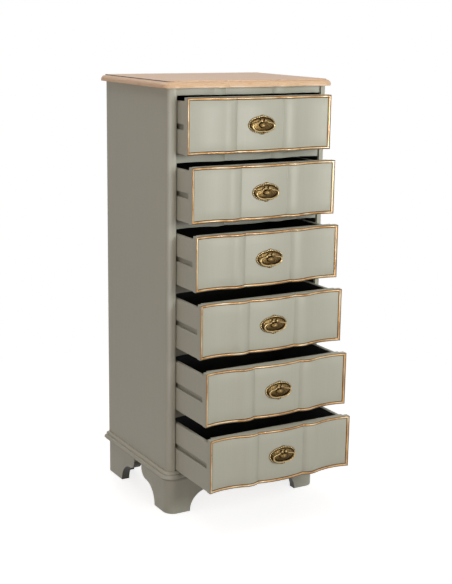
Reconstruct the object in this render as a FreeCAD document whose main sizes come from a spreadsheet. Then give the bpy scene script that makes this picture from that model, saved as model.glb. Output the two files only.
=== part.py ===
import FreeCAD, Part
import math
import os
import re

import Sketcher
from FreeCAD import Placement, Rotation, Vector

# A tall narrow chest with six serpentine drawers, standing on the floor at z = 0, its front towards -Y.
# Case pieces are drawn with y = 0 on the front of the posts, drawer pieces with y = 0 on the ends of
# the drawer front, and their placements carry them to the middle of the whole object.

drawer_count = 6

sizes = {
    # case
    "case_width": 496,
    "case_depth": 390,
    "side_thickness": 18,
    "back_thickness": 6,
    "back_rebate": 9,
    "post_width": 23,
    "post_depth": 28,
    "post_corner_radius": 20,
    "frieze_height": 20,
    "rail_height": 24,
    "rail_depth": 50,
    "rail_setback": 7,
    # top board
    "top_thickness": 18,
    "top_overhang": 16,
    "top_edge_flat": 9,
    # moulded base frame and the board inside it
    "base_thickness": 34,
    "base_overhang": 16,
    "base_width": 60,
    "base_lower_flat": 12,
    "bottom_board_thickness": 12,
    # bracket feet
    "foot_height": 96,
    "foot_thickness": 25,
    "foot_inset": 2,
    "foot_corner_radius": 30,
    "foot_front_gap": 180,
    "foot_side_gap": 48,
    "foot_hollow_radius": 58,
    "foot_swell_radius": 28,
    # drawer fronts, each with a bead round its edge
    "drawer_gap": 2,
    "front_height": 148,
    "front_thickness": 18,
    "serpentine_depth": 8,
    "bead_width": 5.5,
    "bead_height": 2,
    # drawer boxes
    "drawer_depth": 360,
    "drawer_side_thickness": 12,
    "drawer_side_drop": 10,
    "drawer_side_lift": 1,
    "drawer_back_thickness": 12,
    "drawer_back_drop": 20,
    "drawer_bottom_thickness": 5,
    "drawer_bottom_level": 8,
    "drawer_bottom_tongue": 5,
    # runners and the grooves that ride on them
    "groove_height": 15,
    "groove_depth": 7,
    "groove_level": 72,
    "groove_stop": 4,
    "runner_play": 0.3,
    "runner_slack": 0.7,
    "runner_side_play": 1,
    "runner_rear_gap": 4,
    # how far each drawer stands open
    "drawer_1_opening": 63,
    "drawer_2_opening": 91,
    "drawer_3_opening": 116,
    "drawer_4_opening": 144,
    "drawer_5_opening": 177,
    "drawer_6_opening": 204,
    # drawer pulls
    "pull_level": 74,
    "plate_width": 85,
    "plate_height": 52,
    "plate_thickness": 2,
    "plate_rim_width": 4,
    "plate_rim_height": 4.5,
    "plate_seat_gap": 0.05,
    "rosette_radius": 9,
    "rosette_height": 5,
    "pivot_rise": 12,
    "pivot_reach": 8.5,
    "post_spacing": 16,
    "post_neck_radius": 2.6,
    "post_head_radius": 4.2,
    "post_head_length": 7,
    "bail_width": 67,
    "bail_drop": 30,
    "bail_arm_drop": 5,
    "bail_wire_radius": 2.2,
    "bail_pin_play": 0.05,
    "bail_pin_inset": 0.5,
    # every cut runs this far past what it cuts
    "overrun": 5,
}

# The serpentine front from its end to its middle: shares of half the width and of the depth, and the
# rise of the arc that leaves each point. A rise below zero is a hollow.
serpentine_shares = (
    (1.0, 0.0, -1.1),
    (0.5058, -0.1325, 0.5766),
    (0.3269, 0.4938, -0.0365),
    (0.3145, 0.5511, 1.0761),
)
# A rounded corner leaves this share of the post's width flat.
post_flat_share = 0.1
# Numbers of sides and of straight lengths: small brass pieces are faceted.
plate_sides = 12
rosette_sides = 8
head_sides = 8
wire_sides = 6
bend_runs = 4
# Two levels closer than this are one level.
tolerance = 1e-6

doc = FreeCAD.newDocument("Semainier")
sheet = doc.addObject("Spreadsheet::Sheet", "Size")
for row, (alias, number) in enumerate(sizes.items(), start=1):
    sheet.set(f"A{row}", alias)
    sheet.set(f"B{row}", str(number))
    sheet.setAlias(f"B{row}", alias)
doc.recompute()


# Expressions are plain text in the names of the sheet.

def value(text):
    return float(sheet.evalExpression(text))


def bound(text):
    return re.sub(r"[a-z]\w*", lambda word: f"Size.{word[0]}" if word[0] in sizes else word[0], text)


def bind(thing, **properties):
    for name, text in properties.items():
        thing.setExpression(name, bound(text))
    return thing


def place(thing, x="0", y="0", z="0"):
    for axis, text in zip("xyz", (x, y, z)):
        thing.setExpression(f"Placement.Base.{axis}", bound(text))
    return thing


# Primitives, booleans and copies

def box(name, corner, extent):
    thing = doc.addObject("Part::Box", name)
    bind(thing, Length=extent[0], Width=extent[1], Height=extent[2])
    return place(thing, *corner)


def turned(kind, name, turn, start, **measures):
    thing = doc.addObject(kind, name)
    thing.Placement = Placement(Vector(), turn)
    return place(bind(thing, **measures), *start)


along_x = Rotation(Vector(0, 1, 0), 90)
along_y = Rotation(Vector(1, 0, 0), -90)
forward = Rotation(Vector(1, 0, 0), 90)
upright = Rotation()


def joined(kind, name, pieces):
    thing = doc.addObject(kind, name)
    if kind == "Part::Compound":
        thing.Links = pieces
    else:
        thing.Shapes = pieces
    return thing


def paired(kind, name, base, tool):
    thing = doc.addObject(kind, name)
    thing.Base = base
    thing.Tool = tool
    return thing


def mirrored(name, source):
    thing = doc.addObject("Part::Mirroring", name)
    thing.Source = source
    thing.Normal = Vector(1, 0, 0)
    return thing


# Sketches: every corner is tied to the sheet by its two coordinates and every arc by its radius.

def new_sketch(body, name, role, offset="0"):
    sketch = body.newObject("Sketcher::SketchObject", name)
    plane = next(feature for feature in body.Origin.OriginFeatures if feature.Role == role)
    sketch.AttachmentSupport = (plane, [""])
    sketch.MapMode = "FlatFace"
    sketch.setExpression("AttachmentOffset.Base.z", bound(offset))
    return sketch


def tie(sketch, kind, where, text):
    index = sketch.addConstraint(Sketcher.Constraint(kind, *where, value(text)))
    sketch.setExpression(f"Constraints[{index}]", bound(text))


def arc_between(start, end, radius):
    chord = end - start
    rise = abs(radius) - (radius ** 2 - chord.Length ** 2 / 4) ** 0.5
    outward = Vector(chord.y, -chord.x, 0).normalize() * (rise if radius > 0 else -rise)
    return Part.Arc(start, (start + end) * 0.5 + outward, end)


def draw(sketch, points, closed=True):
    # Each point is x, y and, where an arc leaves it, that arc's radius: above zero to bulge outwards on
    # an outline that is drawn anticlockwise, below zero to hollow it.
    spots = [Vector(value(point[0]), value(point[1]), 0) for point in points]
    count = len(points) if closed else len(points) - 1
    ends = []
    for index in range(count):
        start, end = spots[index], spots[(index + 1) % len(spots)]
        radius = points[index][2] if len(points[index]) > 2 else None
        if radius is None:
            edge = sketch.addGeometry(Part.LineSegment(start, end))
            ends.append((edge, 1, 2))
        else:
            bulge = value(radius)
            edge = sketch.addGeometry(arc_between(start, end, bulge))
            ends.append((edge, 1, 2) if bulge > 0 else (edge, 2, 1))
    for index in range(count):
        edge, first, last = ends[index]
        if closed or index + 1 < count:
            following, start_of_next, _ = ends[(index + 1) % count]
            sketch.addConstraint(Sketcher.Constraint("Coincident", edge, last, following, start_of_next))
        tie(sketch, "DistanceX", (edge, first), points[index][0])
        tie(sketch, "DistanceY", (edge, first), points[index][1])
        if len(points[index]) > 2:
            tie(sketch, "Radius", (edge,), f"abs({points[index][2]})")
    if not closed:
        edge, _, last = ends[-1]
        tie(sketch, "DistanceX", (edge, last), points[-1][0])
        tie(sketch, "DistanceY", (edge, last), points[-1][1])
    return sketch


def new_body(name):
    return doc.addObject("PartDesign::Body", name)


def feature(body, kind, name, profile, **measures):
    thing = body.newObject(kind, name)
    thing.Profile = profile
    return bind(thing, **measures)


def padded(name, points, height):
    body = new_body(name)
    outline = draw(new_sketch(body, f"{name}_plan", "XY_Plane"), points)
    feature(body, "PartDesign::Pad", f"{name}_pad", outline, Length=height)
    return body


def chamfered(body, name, size, level, back):
    # A flat along every edge at this level, apart from the straight ones at the back.
    doc.recompute()
    tip = body.Tip
    names = [
        f"Edge{index}"
        for index, edge in enumerate(tip.Shape.Edges, start=1)
        if on_level(edge, value(level), value(back))
    ]
    thing = body.newObject("PartDesign::Chamfer", name)
    thing.Base = (tip, names)
    return bind(thing, Size=size)


def on_level(edge, level, back):
    middle = edge.valueAt((edge.FirstParameter + edge.LastParameter) / 2)
    spots = [middle] + [vertex.Point for vertex in edge.Vertexes]
    return all(abs(spot.z - level) < tolerance for spot in spots) and middle.y < back - tolerance


# Lines and levels that several pieces share

half_case = "(case_width/2)"
inner_half = "(case_width/2 - post_width)"
front_half = "(case_width/2 - post_width - drawer_gap)"
side_inner_half = "(case_width/2 - side_thickness)"
post_corner = f"min(post_corner_radius; post_width - {post_flat_share}*post_width)"
drawer_pitch = "(front_height + rail_height + 2*drawer_gap)"
base_top = "(foot_height + base_thickness)"
case_height = f"({drawer_count}*{drawer_pitch} - rail_height + frieze_height)"
case_top = f"({base_top} + {case_height})"
drawer_side_height = "(front_height - drawer_side_drop - drawer_side_lift)"
drawer_inner_half = f"({front_half} - drawer_side_thickness)"

# The runner starts behind the post, and the groove stops against its end when the drawer is shut.
runner_front = "(max(post_depth; rail_setback + front_thickness + groove_stop) + runner_play)"
groove_front = f"({runner_front} - runner_play - rail_setback)"

# The bowed middle of the front is a cylinder, on which the plate of the pull seats.
crown_x_share, crown_y_share, crown_rise_share = serpentine_shares[-1]
crown_rise = f"({crown_rise_share}*serpentine_depth)"
crown_radius = f"(({crown_x_share}*{front_half})^2/(2*{crown_rise}) + {crown_rise}/2)"
crown_front = f"({crown_y_share - crown_rise_share}*serpentine_depth)"

# The foremost point is the head of the lowest pull, and the rearmost is the back of the case.
lowest_opening = f"drawer_{drawer_count}_opening"
pull_front = f"({crown_front} + bead_height - pivot_reach - post_head_radius)"
front_reach = f"({lowest_opening} - rail_setback - {pull_front})"
case_y = f"(({front_reach} - case_depth)/2)"


def drawer_level(number):
    return f"({base_top} + drawer_gap + {drawer_count - number}*{drawer_pitch})"


def serpentine(half, y):
    # The front from its left end to its right end, for an anticlockwise outline.
    radii = []
    for here, inner in zip(serpentine_shares, serpentine_shares[1:] + ((-crown_x_share, crown_y_share, 0),)):
        run, step = here[0] - inner[0], here[1] - inner[1]
        rise = f"({here[2]}*serpentine_depth)"
        radii.append(f"(({run}*{half})^2 + ({step}*serpentine_depth)^2)/(8*{rise}) + {rise}/2")
    heights = [f"{y} + {share[1]}*serpentine_depth" for share in serpentine_shares]
    left = [
        (f"-{share[0]}*{half}", height, radius)
        for share, height, radius in zip(serpentine_shares, heights, radii)
    ]
    right = [
        (f"{share[0]}*{half}", height, radius)
        for share, height, radius in zip(serpentine_shares[::-1], heights[::-1], radii[-2::-1])
    ]
    return left + right + [(f"{serpentine_shares[0][0]}*{half}", heights[0])]


def board_with_corners(overhang, back):
    # A board that stands out from the case by the overhang, with the corners of the posts.
    half = f"({half_case} + {overhang})"
    corner = f"({post_corner} + {overhang})"
    return (
        [(f"-{half}", f"{corner} - {overhang}", corner), (f"{corner} - {half}", f"-{overhang}")]
        + serpentine(inner_half, f"-{overhang}")
        + [(f"{half} - {corner}", f"-{overhang}", corner), (f"{half}", f"{corner} - {overhang}")]
        + [(half, back), (f"-{half}", back)]
    )


parts = []


def keep(label, thing):
    thing.Label = label
    parts.append(thing)
    return thing


def keep_pair(label, left):
    keep(f"{label}_left", left)
    keep(f"{label}_right", mirrored(f"{label}_right", left))


# Case

def make_top():
    board = padded("top_board", board_with_corners("top_overhang", "case_depth"), "top_thickness")
    chamfered(board, "top_edge", "top_edge_flat", "top_thickness", "case_depth")
    keep("top_board", place(board, y=case_y, z=case_top))


def make_sides():
    length = "case_depth - post_depth"
    back_y = f"{case_y} + case_depth - back_thickness"
    corner = (f"-{half_case}", f"{case_y} + post_depth", base_top)
    panel = box("side_board", corner, ("side_thickness", length, case_height))
    rebate = box(
        "side_rebate",
        (f"-{side_inner_half} - back_rebate", back_y, f"{base_top} - overrun"),
        ("back_rebate + overrun", "back_thickness + overrun", f"{case_height} + 2*overrun"),
    )
    keep_pair("side_panel", paired("Part::Cut", "side_panel_left", panel, rebate))
    back_half = f"({side_inner_half} + back_rebate)"
    back = box(
        "back_panel",
        (f"-{back_half}", back_y, base_top),
        (f"2*{back_half}", "back_thickness", case_height),
    )
    keep("back_panel", back)


def make_posts():
    outline = [
        (f"-{half_case}", post_corner, post_corner),
        (f"{post_corner} - {half_case}", "0"),
        (f"-{inner_half}", "0"),
        (f"-{inner_half}", "post_depth"),
        (f"-{half_case}", "post_depth"),
    ]
    keep_pair("front_post", place(padded("front_post_left", outline, case_height), y=case_y, z=base_top))


def rail(name, height, level):
    back = "rail_setback + rail_depth"
    outline = serpentine(inner_half, "rail_setback") + [(inner_half, back), (f"-{inner_half}", back)]
    return place(padded(name, outline, height), y=case_y, z=level)


def make_rails():
    keep("frieze_rail", rail("frieze_rail", "frieze_height", f"{case_top} - frieze_height"))
    dividers = [
        rail(f"divider_{number}", "rail_height", f"{drawer_level(number)} - drawer_gap - rail_height")
        for number in range(1, drawer_count)
    ]
    keep("divider_rails", joined("Part::Compound", "divider_rails", dividers))


def make_runners():
    inner = f"({front_half} - groove_depth + runner_side_play)"
    height = "(groove_height - runner_play - runner_slack)"
    length = f"case_depth - back_thickness - runner_rear_gap - {runner_front}"
    left = []
    for number in range(1, drawer_count + 1):
        top = f"({drawer_level(number)} + groove_level + groove_height/2 - runner_play)"
        corner = (f"-{side_inner_half}", f"{case_y} + {runner_front}", f"{top} - {height}")
        left.append(box(f"runner_{number}", corner, (f"{side_inner_half} - {inner}", length, height)))
    left_set = joined("Part::Compound", "runners_left", left)
    both_sets = [left_set, mirrored("runners_right", left_set)]
    keep("drawer_runners", joined("Part::Compound", "drawer_runners", both_sets))


# Base frame and feet

def make_base():
    back = "(base_width - base_overhang)"
    front = padded("base_front", board_with_corners("base_overhang", back), "base_thickness")
    chamfered(front, "base_upper_edge", "base_overhang", "base_thickness", back)
    chamfered(front, "base_lower_edge", "base_lower_flat", "0", back)
    keep("base_front", place(front, y=case_y, z="foot_height"))

    outer = f"({half_case} + base_overhang)"
    section = [
        (f"base_width - {outer}", "0"),
        (f"base_width - {outer}", "base_thickness"),
        (f"base_overhang - {outer}", "base_thickness"),
        (f"-{outer}", "base_thickness - base_overhang"),
        (f"-{outer}", "base_lower_flat"),
        (f"base_lower_flat - {outer}", "0"),
    ]
    side = new_body("base_left")
    profile = draw(new_sketch(side, "base_section", "XZ_Plane"), section)
    run = feature(side, "PartDesign::Pad", "base_run", profile, Length=f"case_depth - {back}")
    run.Reversed = True
    keep_pair("base", place(side, y=f"{case_y} + {back}", z="foot_height"))

    inner = f"({outer} - base_width)"
    corner = (f"-{inner}", f"{case_y} + case_depth - base_width", "foot_height")
    keep("base_rear", box("base_rear", corner, (f"2*{inner}", "base_width", "base_thickness")))
    board = box(
        "bottom_board",
        (f"-{inner}", f"{case_y} + {back}", f"{base_top} - bottom_board_thickness"),
        (f"2*{inner}", f"case_depth - base_width - {back}", "bottom_board_thickness"),
    )
    keep("bottom_board", board)


foot_ogee = "(foot_hollow_radius + foot_swell_radius)"
foot_half = f"({half_case} - foot_inset)"
side_leg = "((case_depth - foot_inset - foot_side_gap)/2)"


def ogee(start, sign):
    # The open space beside a leg: a hollow that rises from the floor, then a swell that meets the base.
    def across(distance):
        return f"{start} {sign} ({distance})"
    points = [
        (across("0"), "-overrun"),
        (across(f"{foot_ogee} + overrun"), "-overrun"),
        (across(f"{foot_ogee} + overrun"), foot_ogee),
        (across(foot_ogee), foot_ogee, "-foot_swell_radius"),
        (across("foot_hollow_radius"), "foot_hollow_radius", "foot_hollow_radius"),
        (across("0"), "0"),
    ]
    if sign == "+":
        return points
    # Drawn the other way round, an outline passes its points backwards and each arc leaves the far end.
    radii = [point[2] if len(point) > 2 else None for point in points]
    back = []
    for index in range(len(points) - 1, -1, -1):
        radius = radii[index - 1]
        back.append(points[index][:2] if radius is None else points[index][:2] + (radius,))
    return back


def cut_ogee(body, name, role, start, sign):
    doc.recompute()
    before = body.Shape.Volume
    outline = draw(new_sketch(body, f"{name}_outline", role), ogee(start, sign))
    pocket = feature(body, "PartDesign::Pocket", name, outline)
    pocket.Type = "ThroughAll"
    pocket.Midplane = True
    doc.recompute()
    if not body.Shape.Volume < before:
        raise RuntimeError(f"{name} cuts nothing")


def make_feet():
    outer = f"-{foot_half}"
    inner = f"foot_thickness - {foot_half}"
    leg_end = "-foot_front_gap/2"
    front_outline = [
        (outer, "foot_inset + foot_corner_radius", "foot_corner_radius"),
        (f"foot_corner_radius - {foot_half}", "foot_inset"),
        (leg_end, "foot_inset"),
        (leg_end, "foot_inset + foot_thickness"),
        (inner, "foot_inset + foot_thickness"),
        (inner, f"foot_inset + {side_leg}"),
        (outer, f"foot_inset + {side_leg}"),
    ]
    front = padded("foot_front_left", front_outline, "foot_height")
    cut_ogee(front, "front_foot_side_cut", "YZ_Plane", f"foot_inset + {side_leg} - {foot_ogee}", "+")
    cut_ogee(front, "front_foot_front_cut", "XZ_Plane", f"{leg_end} - {foot_ogee}", "+")
    keep_pair("foot_front", place(front, y=case_y))

    rear_outline = [
        (outer, f"case_depth - {side_leg}"),
        (inner, f"case_depth - {side_leg}"),
        (inner, "case_depth - foot_thickness"),
        (leg_end, "case_depth - foot_thickness"),
        (leg_end, "case_depth"),
        (outer, "case_depth"),
    ]
    rear = padded("foot_rear_left", rear_outline, "foot_height")
    cut_ogee(rear, "rear_foot_side_cut", "YZ_Plane", f"case_depth - {side_leg} + {foot_ogee}", "-")
    cut_ogee(rear, "rear_foot_rear_cut", "XZ_Plane", f"{leg_end} - {foot_ogee}", "+")
    keep_pair("foot_rear", place(rear, y=case_y))


# Drawers

def drawer_y(number):
    return f"({case_y} + rail_setback - drawer_{number}_opening)"


def make_front(number):
    y, z = drawer_y(number), drawer_level(number)
    back = [(front_half, "front_thickness"), (f"-{front_half}", "front_thickness")]
    face = serpentine(front_half, "0")
    board = place(padded(f"front_board_{number}", face + back, "front_height"), y=y, z=z)

    # The field inside the bead is sunk by the bead's height and follows the same curve.
    floor = [
        (x, f"bead_height + {height}", f"-({radius[0]})") if radius else (x, f"bead_height + {height}")
        for x, height, *radius in reversed_run(face)
    ]
    strip = place(padded(f"field_strip_{number}", face + floor, "front_height"), y=y, z=z)
    field_half = f"({front_half} - bead_width)"
    window = box(
        f"field_window_{number}",
        (f"-{field_half}", f"{y} - overrun - serpentine_depth", f"{z} + bead_width"),
        (f"2*{field_half}", "front_thickness + overrun + serpentine_depth", "front_height - 2*bead_width"),
    )
    field = paired("Part::Common", f"front_field_{number}", strip, window)
    groove_half = f"({drawer_inner_half} + drawer_bottom_tongue)"
    groove = box(
        f"front_groove_{number}",
        (f"-{groove_half}", f"{y} + front_thickness - drawer_bottom_tongue", f"{z} + drawer_bottom_level"),
        (f"2*{groove_half}", "drawer_bottom_tongue + overrun", "drawer_bottom_thickness"),
    )
    waste = joined("Part::MultiFuse", f"front_waste_{number}", [field, groove])
    keep(f"drawer_{number}_front", paired("Part::Cut", f"drawer_front_{number}", board, waste))


def reversed_run(points):
    # The same open run of points from its far end, each arc now leaving the point where it used to end.
    run = []
    for index in range(len(points) - 1, -1, -1):
        radius = points[index - 1][2:] if index else ()
        run.append(points[index][:2] + tuple(radius))
    return run


def make_box(number):
    y, z = drawer_y(number), drawer_level(number)
    low = f"{z} + drawer_side_lift"
    start = f"{y} + front_thickness"
    length = "drawer_depth - front_thickness"
    board = box(
        f"drawer_side_board_{number}",
        (f"-{front_half}", start, low),
        ("drawer_side_thickness", length, drawer_side_height),
    )
    runner_groove = box(
        f"runner_groove_{number}",
        (f"-{front_half} - overrun", f"{y} + {groove_front}", f"{z} + groove_level - groove_height/2"),
        ("groove_depth + overrun", "drawer_depth", "groove_height"),
    )
    bottom_groove = box(
        f"bottom_groove_{number}",
        (f"-{drawer_inner_half} - drawer_bottom_tongue", f"{start} - overrun", f"{z} + drawer_bottom_level"),
        ("drawer_bottom_tongue + overrun", f"{length} + 2*overrun", "drawer_bottom_thickness"),
    )
    grooves = joined("Part::MultiFuse", f"side_grooves_{number}", [runner_groove, bottom_groove])
    left = paired("Part::Cut", f"drawer_side_left_{number}", board, grooves)
    right = mirrored(f"drawer_side_right_{number}", left)
    bottom_top = "(drawer_bottom_level + drawer_bottom_thickness)"
    back_height = f"front_height - drawer_back_drop - {bottom_top}"
    back = box(
        f"drawer_back_{number}",
        (f"-{drawer_inner_half}", f"{y} + drawer_depth - drawer_back_thickness", f"{z} + {bottom_top}"),
        (f"2*{drawer_inner_half}", "drawer_back_thickness", back_height),
    )
    keep(f"drawer_{number}_box", joined("Part::Compound", f"drawer_box_{number}", [left, right, back]))
    bottom_half = f"({drawer_inner_half} + drawer_bottom_tongue)"
    bottom = box(
        f"drawer_bottom_{number}",
        (f"-{bottom_half}", f"{start} - drawer_bottom_tongue", f"{z} + drawer_bottom_level"),
        (f"2*{bottom_half}", f"{length} + drawer_bottom_tongue", "drawer_bottom_thickness"),
    )
    keep(f"drawer_{number}_bottom", bottom)


# Pulls: the plate seats on the bowed field, and everything forward of it is measured from there.

def seat_y(number):
    return f"({drawer_y(number)} + {crown_front} + bead_height)"


def pivot_y(number):
    return f"({seat_y(number)} - pivot_reach)"


def pivot_z(number):
    return f"({drawer_level(number)} + pull_level + pivot_rise)"


def turn_shares(count, total=2 * math.pi):
    # Sine and cosine at equal steps of a turn
    return [(math.sin(total * step / count), math.cos(total * step / count)) for step in range(count)]


def oval(name, number, border, front, length):
    # A faceted oval bar along Y, from its front face back
    across, along = f"(plate_width/2 - {border})", f"(plate_height/2 - {border})"
    body = new_body(f"{name}_{number}")
    outline = [(f"{cosine}*{across}", f"{sine}*{along}") for sine, cosine in turn_shares(plate_sides)]
    sketch = draw(new_sketch(body, f"{name}_outline_{number}", "XZ_Plane"), outline)
    bar = feature(body, "PartDesign::Pad", f"{name}_bar_{number}", sketch, Length=length)
    bar.Reversed = True
    return place(body, y=front, z=f"{drawer_level(number)} + pull_level")


def make_plate(number):
    # A cast oval with a raised rim and a rosette, flat in front and hollowed behind to the bowed field
    seat = seat_y(number)
    middle = f"({drawer_level(number)} + pull_level)"
    face = f"({seat} - plate_seat_gap - plate_thickness)"
    rim = oval("plate_rim", number, "0", f"{seat} - plate_rim_height", "front_thickness + plate_rim_height")
    dish = oval("plate_dish", number, "plate_rim_width", f"{face} - plate_rim_height", "plate_rim_height")
    drum = turned(
        "Part::Cylinder", f"plate_seat_{number}", upright,
        ("0", f"{seat} + {crown_radius}", f"{middle} - plate_height/2 - overrun"),
        Radius=f"{crown_radius} + plate_seat_gap", Height="plate_height + 2*overrun",
    )
    waste = joined("Part::MultiFuse", f"plate_waste_{number}", [dish, drum])
    plate = paired("Part::Cut", f"plate_{number}", rim, waste)
    rosette = turned(
        "Part::Prism", f"rosette_{number}", forward, ("0", face, middle),
        Circumradius="rosette_radius", Height="rosette_height - plate_thickness - plate_seat_gap",
    )
    rosette.Polygon = rosette_sides
    keep(f"drawer_{number}_pull_plate", joined("Part::MultiFuse", f"pull_plate_{number}", [plate, rosette]))


def make_pull_posts(number):
    # Each post is a neck that stands on the plate and a head bored for the end of the bail.
    heads = "post_spacing + post_head_length"
    bore = turned(
        "Part::Prism", f"pin_bore_{number}", along_x,
        (f"-({heads})/2 - overrun", pivot_y(number), pivot_z(number)),
        Circumradius=f"(bail_wire_radius + bail_pin_play)/{math.cos(math.pi/wire_sides)}",
        Height=f"{heads} + 2*overrun",
    )
    bore.Polygon = wire_sides
    posts = []
    for side, sign in (("left", "-"), ("right", "")):
        x = f"{sign}post_spacing/2"
        neck = turned(
            "Part::Prism", f"post_neck_{side}_{number}", along_y, (x, pivot_y(number), pivot_z(number)),
            Circumradius="post_neck_radius", Height="pivot_reach - plate_thickness - plate_seat_gap",
        )
        head = turned(
            "Part::Prism", f"post_head_{side}_{number}", along_x,
            (f"{x} - post_head_length/2", pivot_y(number), pivot_z(number)),
            Circumradius="post_head_radius", Height="post_head_length",
        )
        neck.Polygon = wire_sides
        head.Polygon = head_sides
        post = joined("Part::MultiFuse", f"post_{side}_{number}", [neck, head])
        posts.append(paired("Part::Cut", f"post_bored_{side}_{number}", post, bore))
    keep(f"drawer_{number}_pull_posts", joined("Part::Compound", f"pull_posts_{number}", posts))


def make_bail(number):
    # An oval loop of wire, open at the top, whose two arms slope up to the ends that turn in the posts.
    end = "(post_spacing/2 - post_head_length/2 + bail_pin_inset)"
    shoulder = "(post_spacing/2 + post_head_length/2 + bail_pin_inset)"
    bend = "((bail_drop - bail_arm_drop)/2)"
    straight = f"(bail_width/2 - {bend})"
    turn = turn_shares(bend_runs, math.pi) + [(0, -1)]
    right = [(f"{straight} + {sine}*{bend}", f"{cosine}*{bend} - {bend} - bail_arm_drop") for sine, cosine in turn]
    left = [(f"-({x})", z) for x, z in reversed(right)]
    path = [(end, "0"), (shoulder, "0"), *right, *left, (f"-{shoulder}", "0"), (f"-{end}", "0")]
    wire = new_body(f"bail_wire_{number}")
    route = draw(new_sketch(wire, f"bail_route_{number}", "XZ_Plane"), path, closed=False)
    sides = turn_shares(wire_sides)
    ring = [(f"{cosine}*bail_wire_radius", f"{sine}*bail_wire_radius") for sine, cosine in sides]
    section = draw(new_sketch(wire, f"bail_section_{number}", "YZ_Plane", end), ring)
    pipe = feature(wire, "PartDesign::AdditivePipe", f"bail_pipe_{number}", section)
    pipe.Spine = route
    pipe.Transition = "Right corner"
    keep(f"drawer_{number}_pull_bail", place(wire, y=pivot_y(number), z=pivot_z(number)))


make_top()
make_sides()
make_posts()
make_rails()
make_runners()
make_base()
make_feet()
for drawer in range(1, drawer_count + 1):
    make_front(drawer)
    make_box(drawer)
    make_plate(drawer)
    make_pull_posts(drawer)
    make_bail(drawer)
doc.recompute()

for thing in doc.Objects:
    if "Invalid" in thing.State or "Error" in thing.State:
        raise RuntimeError(f"{thing.Label} failed: {thing.State}")
for part in parts:
    if part.Shape.isNull() or not part.Shape.isValid():
        raise RuntimeError(f"{part.Label} has no valid shape")

os.makedirs("parts", exist_ok=True)
for part in parts:
    part.Shape.exportStep(f"parts/{part.Label}.step")
print(f"{len(parts)} parts")
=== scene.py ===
import math

import bmesh
import bpy
import numpy as np
from mathutils import Matrix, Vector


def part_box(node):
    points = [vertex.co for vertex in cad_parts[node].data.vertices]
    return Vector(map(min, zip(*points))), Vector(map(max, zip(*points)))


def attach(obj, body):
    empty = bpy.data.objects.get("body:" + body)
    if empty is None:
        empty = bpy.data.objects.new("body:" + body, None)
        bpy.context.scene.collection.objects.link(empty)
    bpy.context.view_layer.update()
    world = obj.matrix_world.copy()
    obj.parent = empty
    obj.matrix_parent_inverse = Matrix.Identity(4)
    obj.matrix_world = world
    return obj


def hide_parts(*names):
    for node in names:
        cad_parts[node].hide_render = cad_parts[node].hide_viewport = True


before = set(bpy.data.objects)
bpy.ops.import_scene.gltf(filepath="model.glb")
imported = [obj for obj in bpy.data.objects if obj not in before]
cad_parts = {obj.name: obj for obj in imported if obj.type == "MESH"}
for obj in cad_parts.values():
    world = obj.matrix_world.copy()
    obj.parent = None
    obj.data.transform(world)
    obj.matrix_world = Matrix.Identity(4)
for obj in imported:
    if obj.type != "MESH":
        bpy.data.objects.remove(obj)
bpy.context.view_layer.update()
mm = 0.001
pi = math.pi
drawerCount = 6

# Sizes are in millimetres. Case pieces are drawn from the front plane of the posts, drawer pieces
# from the end plane of their front, and pulls from the seat of their plate.
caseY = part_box("front_post_left")[0].y / mm


# Mesh helpers. A shell is a dictionary: its points, its quads, its caps (flat faces of many corners),
# the material number of each face, and the patina and painted shade of each point.

meshing = {"merge": 2e-6, "flat": 1e-7, "sharpAngle": 32}  # metres, metres, degrees


def gridQuads(rows, columns, wrapRows=False, wrapColumns=False):
    # Quads between neighbouring rows and columns of a grid of points
    i = np.arange(rows if wrapRows else rows - 1)[:, None]
    j = np.arange(columns if wrapColumns else columns - 1)[None, :]
    here, ahead, beside = i * columns, (i + 1) % rows * columns, (j + 1) % columns
    corners = [here + j, here + beside, ahead + beside, ahead + j]
    return np.stack(np.broadcast_arrays(*corners), -1).reshape(-1, 4)


def sheetShell(grid, wrapRows=False, wrapColumns=False, capped=False, finish=0, patinaAndShade=0.0):
    # A grid of points as one skin; capped closes the first and the last row with a flat face each
    rows, columns = grid.shape[:2]
    quads = gridQuads(rows, columns, wrapRows, wrapColumns)
    marks = np.zeros(len(quads), int) + np.asarray(finish).reshape(-1)
    caps = []
    if capped:
        ring = np.arange(columns)
        caps = [ring, ring + (rows - 1) * columns]
        marks = np.append(marks, [0, 0])
    darkening = np.array(np.broadcast_to(patinaAndShade, (rows, columns)), float).ravel()
    return {
        "points": grid.reshape(-1, 3), "quads": quads, "caps": caps, "marks": marks, "patinaAndShade": darkening,
    }


def twoSheets(front, back, frontFinish=0, backFinish=0):
    # A board whose front and back are grids of the same size, joined round their rims
    rows, columns = front.shape[:2]
    count = rows * columns
    quads = gridQuads(rows, columns)
    index = np.arange(count).reshape(rows, columns)
    rim = np.concatenate([index[0, :-1], index[:-1, -1], index[-1, :0:-1], index[:0:-1, 0]])
    nextRim = np.roll(rim, -1)
    sides = np.stack([rim, nextRim, nextRim + count, rim + count], -1)
    each = np.ones(len(quads), int)
    return {
        "points": np.concatenate([front.reshape(-1, 3), back.reshape(-1, 3)]),
        "quads": np.concatenate([quads, quads + count, sides]),
        "caps": [],
        "marks": np.concatenate([frontFinish * each, backFinish * each, 0 * rim]),
        "patinaAndShade": np.zeros(2 * count),
    }


def extruded(outline, levels, finish=0):
    # A closed outline in plan carried straight up through the levels
    outline = np.asarray(outline, float)
    grid = np.empty((len(levels), len(outline), 3))
    grid[..., :2] = outline
    grid[..., 2] = np.asarray(levels, float)[:, None]
    marks = np.tile(finish, len(levels) - 1)
    return sheetShell(grid, wrapColumns=True, capped=True, finish=marks)


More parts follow.
